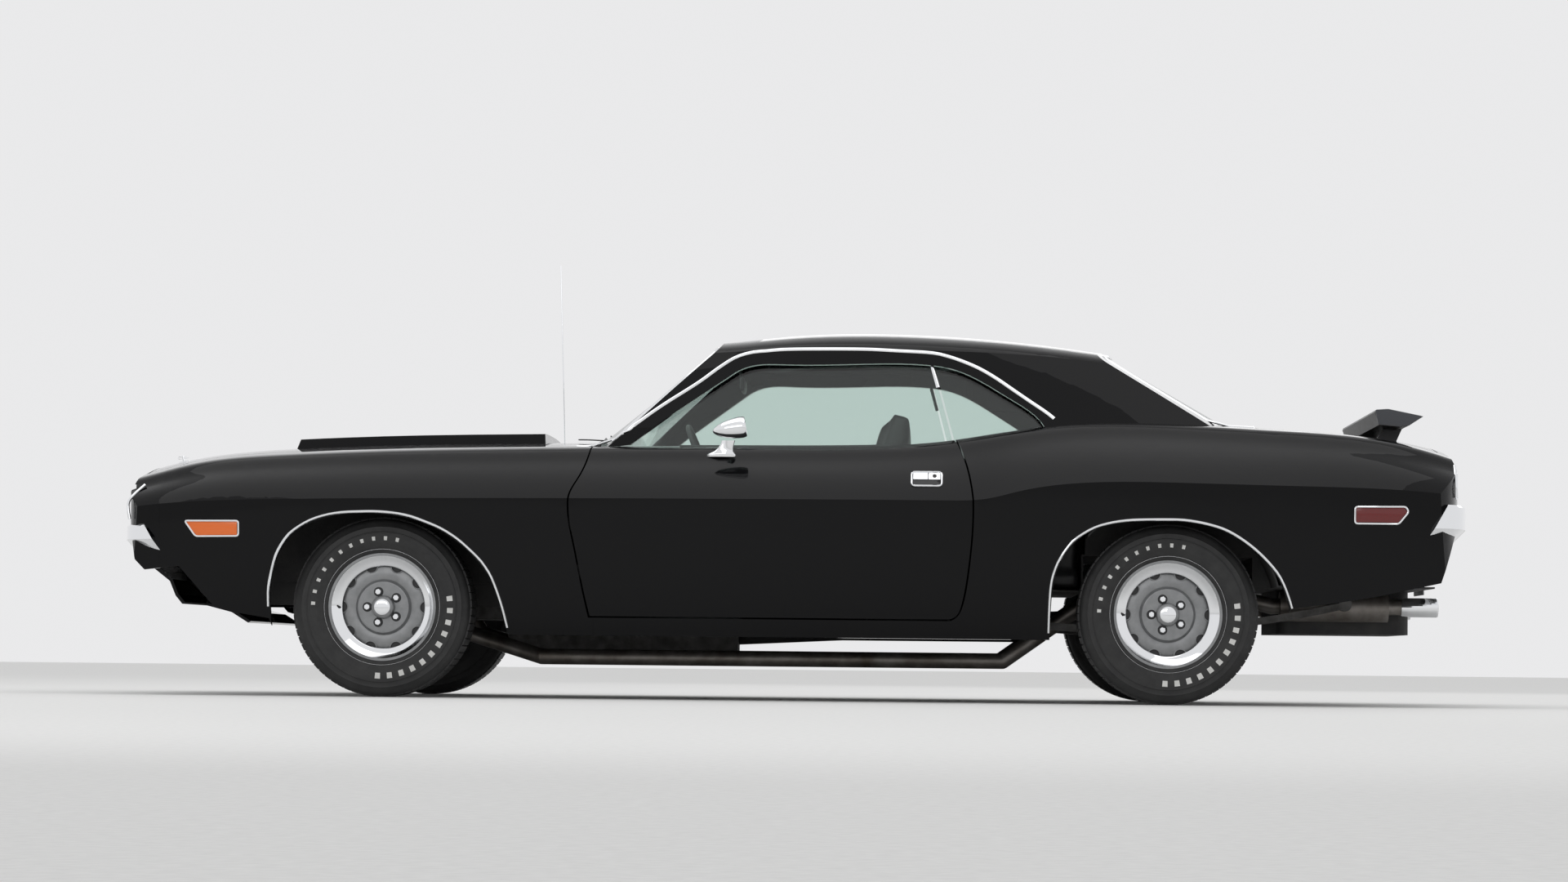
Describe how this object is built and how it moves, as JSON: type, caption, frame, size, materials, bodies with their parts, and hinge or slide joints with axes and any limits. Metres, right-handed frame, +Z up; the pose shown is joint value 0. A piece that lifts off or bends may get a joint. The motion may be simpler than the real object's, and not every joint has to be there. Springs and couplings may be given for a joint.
{
  "type": "muscle car",
  "caption": "Two-door hardtop muscle car with opening doors, hood and trunk lid, steered front wheels and free-turning road wheels.",
  "frame": {"origin": "on the ground under the middle of the overall length and width", "axes": "+X forward, +Y to the car's left, +Z up"},
  "size_m": [4.859, 1.9312, 1.6901],
  "materials": {
    "body_paint": "gloss clear coat",
    "tinted_glass": "tinted",
    "underbody": "satin",
    "cast_iron": "rough",
    "exhaust_steel": "aged",
    "bright_chrome": "mirror bright",
    "lamp_lens": "clear red and amber",
    "black_trim": "satin",
    "lamp_glass": "clear",
    "interior_trim": "grained",
    "seat_vinyl": "grained vinyl",
    "tyre_rubber": "rubber",
    "wheel_steel": "argent grey"
  },
  "bodies": {
    "body": {"body_shell": "body_paint", "cowl": "body_paint", "fender_left": "body_paint", "fender_right": "body_paint", "nose_panel": "body_paint", "quarter_glass": "tinted_glass", "windshield": "tinted_glass", "backlight": "tinted_glass", "floor_pan": "underbody", "front_frame": "underbody", "engine": "cast_iron", "driveshaft": "underbody", "exhaust": "exhaust_steel", "fuel_tank": "underbody", "rear_axle": "cast_iron", "front_suspension": "cast_iron", "front_bumper": "bright_chrome", "rear_bumper": "bright_chrome", "marker_lamps": "lamp_lens", "grille": "black_trim", "headlamps": "lamp_glass", "dashboard": "interior_trim", "front_seat_left": "seat_vinyl", "front_seat_right": "seat_vinyl", "rear_seat": "seat_vinyl", "antenna": "bright_chrome"},
    "door_left_body": {"door_left": "body_paint", "door_glass_left": "tinted_glass", "mirror_left": "bright_chrome"},
    "door_right_body": {"door_right": "body_paint", "door_glass_right": "tinted_glass"},
    "hood_body": {"hood": "body_paint"},
    "deck_lid_body": {"deck_lid": "body_paint", "rear_wing": "black_trim"},
    "knuckle_left_body": {"knuckle_left": "cast_iron"},
    "knuckle_right_body": {"knuckle_right": "cast_iron"},
    "steering_wheel_body": {"steering_wheel": "interior_trim"},
    "wheel_front_left_body": {"wheel_front_left": "wheel_steel", "tyre_front_left": "tyre_rubber"},
    "wheel_front_right_body": {"wheel_front_right": "wheel_steel", "tyre_front_right": "tyre_rubber"},
    "wheel_rear_left_body": {"wheel_rear_left": "wheel_steel", "tyre_rear_left": "tyre_rubber"},
    "wheel_rear_right_body": {"wheel_rear_right": "wheel_steel", "tyre_rear_right": "tyre_rubber"}
  },
  "joints": [
    {"name": "door_left_hinge", "type": "hinge", "parent": "body", "child": "door_left_body", "pos_m": [0.7905, 0.966, 0.6], "axis": [0, 0, -1], "range_deg": [0, 65]},
    {"name": "door_right_hinge", "type": "hinge", "parent": "body", "child": "door_right_body", "pos_m": [0.7905, -0.966, 0.6], "axis": [0, 0, 1], "range_deg": [0, 65]},
    {"name": "hood_hinge", "type": "hinge", "parent": "body", "child": "hood_body", "pos_m": [0.905, 0, 0.945], "axis": [0, -1, 0], "range_deg": [0, 50]},
    {"name": "deck_lid_hinge", "type": "hinge", "parent": "body", "child": "deck_lid_body", "pos_m": [-1.668, 0, 1.028], "axis": [0, 1, 0], "range_deg": [0, 60]},
    {"name": "steer_left", "type": "hinge", "parent": "body", "child": "knuckle_left_body", "pos_m": [1.457, 0.678, 0.32], "axis": [0, 0, 1], "range_deg": [-28, 28]},
    {"name": "steer_right", "type": "hinge", "parent": "body", "child": "knuckle_right_body", "pos_m": [1.457, -0.678, 0.32], "axis": [0, 0, 1], "range_deg": [-28, 28]},
    {"name": "steering_wheel_turn", "type": "hinge", "parent": "body", "child": "steering_wheel_body", "pos_m": [0.33, 0.36, 0.83], "axis": [-0.9272, 0, 0.3746], "range_deg": [-450, 450]},
    {"name": "wheel_front_left_spin", "type": "hinge", "parent": "knuckle_left_body", "child": "wheel_front_left_body", "pos_m": [1.457, 0.758, 0.32], "axis": [0, 1, 0], "continuous": true},
    {"name": "wheel_front_right_spin", "type": "hinge", "parent": "knuckle_right_body", "child": "wheel_front_right_body", "pos_m": [1.457, -0.758, 0.32], "axis": [0, 1, 0], "continuous": true},
    {"name": "wheel_rear_left_spin", "type": "hinge", "parent": "body", "child": "wheel_rear_left_body", "pos_m": [-1.337, 0.771, 0.32], "axis": [0, 1, 0], "continuous": true},
    {"name": "wheel_rear_right_spin", "type": "hinge", "parent": "body", "child": "wheel_rear_right_body", "pos_m": [-1.337, -0.771, 0.32], "axis": [0, 1, 0], "continuous": true}
  ],
  "couplings": [
    {"joint": "steer_right", "follows": "steer_left", "ratio": 1},
    {"joint": "steering_wheel_turn", "follows": "steer_left", "ratio": 16}
  ]
}
